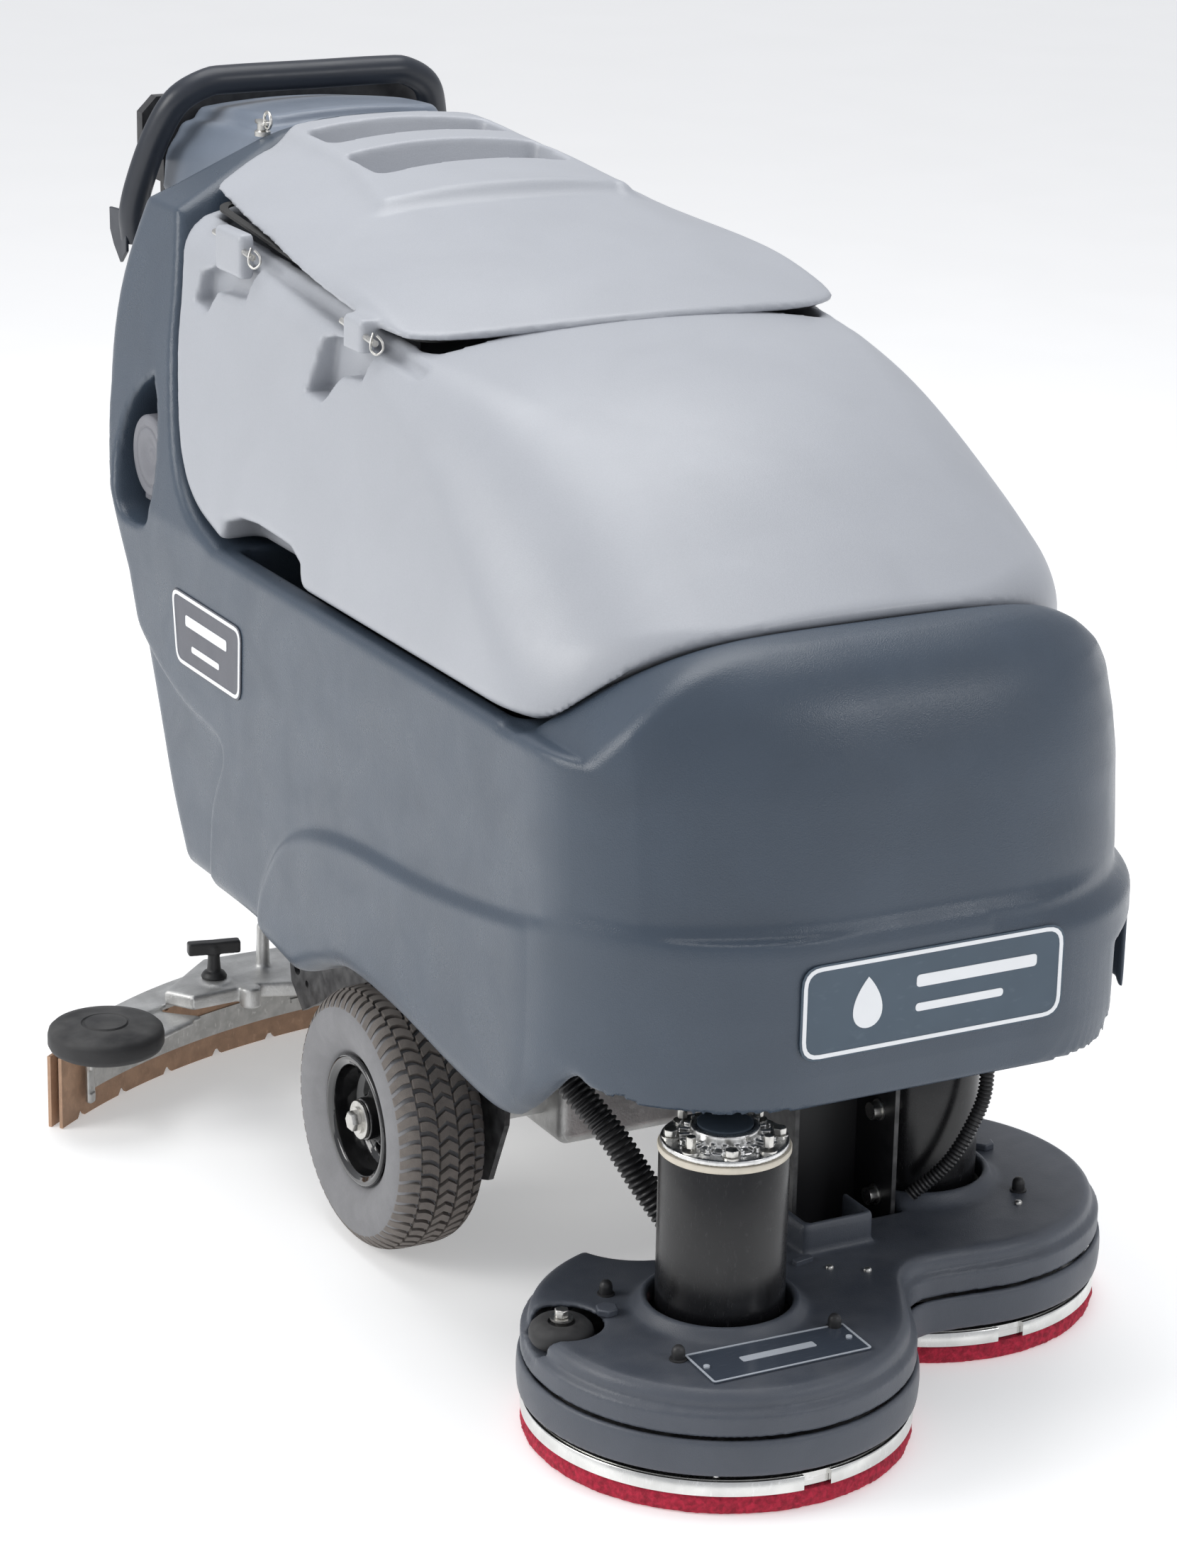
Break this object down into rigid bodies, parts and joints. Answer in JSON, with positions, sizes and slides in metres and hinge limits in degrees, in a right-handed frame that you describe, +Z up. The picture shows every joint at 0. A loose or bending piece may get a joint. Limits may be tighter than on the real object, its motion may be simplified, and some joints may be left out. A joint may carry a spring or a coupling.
{
  "type": "floor scrubber",
  "caption": "Walk-behind floor scrubber with a staggered two-disc scrub deck, tipping recovery tank with lid, rear control console and curved squeegee.",
  "frame": {"origin": "on the floor, under the middle of the overall box", "axes": "+Z up, -Y is the driving direction, +X is the machine's left-to-right axis as seen from the front"},
  "size_m": [0.97, 1.5979, 1.1005],
  "materials": {
    "body_blue": "moulded dark blue-grey polyethylene, fine grain",
    "tank_grey": "moulded light grey polyethylene, satin",
    "cowl_blue": "lighter blue-grey moulded plastic, satin",
    "panel_black": "black moulded plastic",
    "tube_navy": "dark navy powder coat",
    "frame_black": "black powder coat",
    "zinc": "zinc plated steel",
    "label_dark": "plain label film",
    "deck_blue": "dark blue-grey moulded plastic",
    "motor_black": "gloss black enamel",
    "cast_alu": "raw cast aluminium",
    "driver_alu": "brushed aluminium",
    "pad_red": "red non-woven scrub pad",
    "tyre_grey": "non-marking grey rubber",
    "rim_black": "gloss black enamel",
    "soft_black": "black rubber",
    "hose_black": "corrugated black hose",
    "blade_tan": "tan gum rubber",
    "strap_steel": "stainless strap",
    "knob_black": "black moulded knob",
    "button_green": "moulded push button",
    "gasket": "closed-cell foam rubber",
    "battery": "battery case"
  },
  "bodies": {
    "chassis": {"solution_tank": "body_blue", "control_cowl": "cowl_blue", "console_panel": "panel_black", "handle_frame": "tube_navy", "hanger_ring": "zinc", "label_plates": "label_dark", "transaxle": "cast_alu", "traction_motor": "motor_black", "chassis_frame": "frame_black", "actuator_tube": "zinc", "batteries": "battery", "vacuum_motor": "motor_black", "suction_hose": "hose_black", "deck_hose": "hose_black"},
    "recovery_tank": {"recovery_tank": "tank_grey", "lid_hinge_pins": "zinc", "tank_internals": "tank_grey"},
    "tank_lid": {"tank_lid": "tank_grey", "lid_gasket": "gasket"},
    "deck": {"deck_cover": "deck_blue", "deck_skirt": "deck_blue", "deck_frame": "frame_black", "scrub_motors": "motor_black", "motor_caps": "cast_alu", "deck_fasteners": "zinc", "nameplate": "label_dark", "actuator_rod": "zinc", "motor_conduit": "hose_black"},
    "squeegee_arm": {"squeegee_arm": "frame_black"},
    "squeegee": {"squeegee_casting": "cast_alu", "blade_front": "blade_tan", "blade_rear": "blade_tan", "blade_strap": "strap_steel"},
    "scrub_head_left": {"pad_driver_left": "driver_alu", "scrub_pad_left": "pad_red"},
    "drive_wheel_left": {"tyre_left": "tyre_grey", "rim_left": "rim_black", "axle_shaft_left": "zinc"},
    "caster_fork_left": {"caster_fork_left": "zinc"},
    "caster_wheel_left": {"caster_wheel_left": "tyre_grey"},
    "t_knob_left": {"t_knob_left": "knob_black"},
    "bumper_wheel_left": {"bumper_wheel_left": "soft_black"},
    "scrub_head_right": {"pad_driver_right": "driver_alu", "scrub_pad_right": "pad_red"},
    "drive_wheel_right": {"tyre_right": "tyre_grey", "rim_right": "rim_black", "axle_shaft_right": "zinc"},
    "caster_fork_right": {"caster_fork_right": "zinc"},
    "caster_wheel_right": {"caster_wheel_right": "tyre_grey"},
    "t_knob_right": {"t_knob_right": "knob_black"},
    "bumper_wheel_right": {"bumper_wheel_right": "soft_black"},
    "corner_roller": {"corner_roller": "soft_black"},
    "strap_latch": {"strap_latch": "strap_steel"},
    "filler_cap": {"filler_cap": "knob_black"},
    "speed_knob": {"speed_knob": "knob_black"},
    "key_switch": {"key_switch": "zinc"},
    "push_button_1": {"push_button_1": "button_green"},
    "push_button_2": {"push_button_2": "button_green"},
    "drive_paddle": {"drive_paddle": "panel_black"},
    "cowl_latch": {"cowl_latch": "zinc"}
  },
  "joints": [
    {"name": "deck_lift", "type": "slide", "parent": "chassis", "child": "deck", "axis": [0, 0, 1], "range_m": [0, 0.055], "deforming": ["deck_hose"]},
    {"name": "scrub_spin_left", "type": "hinge", "parent": "deck", "child": "scrub_head_left", "pos_m": [-0.1654, -0.609, 0.03], "axis": [0, 0, 1], "continuous": true},
    {"name": "scrub_spin_right", "type": "hinge", "parent": "deck", "child": "scrub_head_right", "pos_m": [0.1654, -0.429, 0.03], "axis": [0, 0, 1], "continuous": true},
    {"name": "corner_roller_spin", "type": "hinge", "parent": "deck", "child": "corner_roller", "pos_m": [-0.315, -0.573, 0.11], "axis": [0, 0, 1], "continuous": true},
    {"name": "wheel_spin_left", "type": "hinge", "parent": "chassis", "child": "drive_wheel_left", "pos_m": [-0.264, -0.097, 0.1397], "axis": [1, 0, 0], "continuous": true},
    {"name": "caster_swivel_left", "type": "hinge", "parent": "chassis", "child": "caster_fork_left", "pos_m": [-0.12, 0.228, 0.12], "axis": [0, 0, 1], "continuous": true},
    {"name": "caster_roll_left", "type": "hinge", "parent": "caster_fork_left", "child": "caster_wheel_left", "pos_m": [-0.12, 0.262, 0.05], "axis": [1, 0, 0], "continuous": true},
    {"name": "wheel_spin_right", "type": "hinge", "parent": "chassis", "child": "drive_wheel_right", "pos_m": [0.264, -0.097, 0.1397], "axis": [1, 0, 0], "continuous": true},
    {"name": "caster_swivel_right", "type": "hinge", "parent": "chassis", "child": "caster_fork_right", "pos_m": [0.12, 0.228, 0.12], "axis": [0, 0, 1], "continuous": true},
    {"name": "caster_roll_right", "type": "hinge", "parent": "caster_fork_right", "child": "caster_wheel_right", "pos_m": [0.12, 0.262, 0.05], "axis": [1, 0, 0], "continuous": true},
    {"name": "squeegee_lift", "type": "hinge", "parent": "chassis", "child": "squeegee_arm", "pos_m": [0, 0.165, 0.225], "axis": [1, 0, 0], "range_deg": [0, 12], "deforming": ["suction_hose"]},
    {"name": "squeegee_swing", "type": "hinge", "parent": "squeegee_arm", "child": "squeegee", "pos_m": [0, 0.373, 0.105], "axis": [0, 0, 1], "range_deg": [-8, 8]},
    {"name": "t_knob_turn_left", "type": "hinge", "parent": "squeegee", "child": "t_knob_left", "pos_m": [-0.254, 0.388, 0.118], "axis": [0, 0, 1], "continuous": true},
    {"name": "bumper_spin_left", "type": "hinge", "parent": "squeegee", "child": "bumper_wheel_left", "pos_m": [-0.421, 0.299, 0.108], "axis": [0, 0, 1], "continuous": true},
    {"name": "t_knob_turn_right", "type": "hinge", "parent": "squeegee", "child": "t_knob_right", "pos_m": [0.254, 0.388, 0.118], "axis": [0, 0, 1], "continuous": true},
    {"name": "bumper_spin_right", "type": "hinge", "parent": "squeegee", "child": "bumper_wheel_right", "pos_m": [0.421, 0.299, 0.108], "axis": [0, 0, 1], "continuous": true},
    {"name": "strap_latch_open", "type": "hinge", "parent": "squeegee", "child": "strap_latch", "pos_m": [-0.43206, 0.33072, 0.044], "axis": [0, 0, -1], "range_deg": [0, 100]},
    {"name": "tank_tilt", "type": "hinge", "parent": "chassis", "child": "recovery_tank", "pos_m": [0.322, -0.097, 0.668], "axis": [0, 1, 0], "range_deg": [0, 75]},
    {"name": "lid_open", "type": "hinge", "parent": "recovery_tank", "child": "tank_lid", "pos_m": [-0.267, 0.153, 0.9655], "axis": [0, -0.9948, -0.1015], "range_deg": [0, 100]},
    {"name": "filler_cap_turn", "type": "hinge", "parent": "chassis", "child": "filler_cap", "pos_m": [-0.28, 0.455, 0.716], "axis": [1, 0, 0], "range_deg": [0, 90]},
    {"name": "speed_knob_turn", "type": "hinge", "parent": "chassis", "child": "speed_knob", "pos_m": [0.095, 0.769, 1.022], "axis": [0, 1, 0], "range_deg": [0, 270]},
    {"name": "key_turn", "type": "hinge", "parent": "chassis", "child": "key_switch", "pos_m": [-0.12, 0.769, 1.022], "axis": [0, 1, 0], "range_deg": [0, 90]},
    {"name": "push_button_1_press", "type": "slide", "parent": "chassis", "child": "push_button_1", "axis": [0, -1, 0], "range_m": [0, 0.003]},
    {"name": "push_button_2_press", "type": "slide", "parent": "chassis", "child": "push_button_2", "axis": [0, -1, 0], "range_m": [0, 0.003]},
    {"name": "drive_paddle_turn", "type": "hinge", "parent": "chassis", "child": "drive_paddle", "pos_m": [0, 0.787, 0.968], "axis": [1, 0, 0], "range_deg": [-15, 15]},
    {"name": "cowl_latch_turn", "type": "hinge", "parent": "chassis", "child": "cowl_latch", "pos_m": [-0.1275, 0.527, 1.07], "axis": [0, 0, 1], "range_deg": [0, 90]}
  ]
}
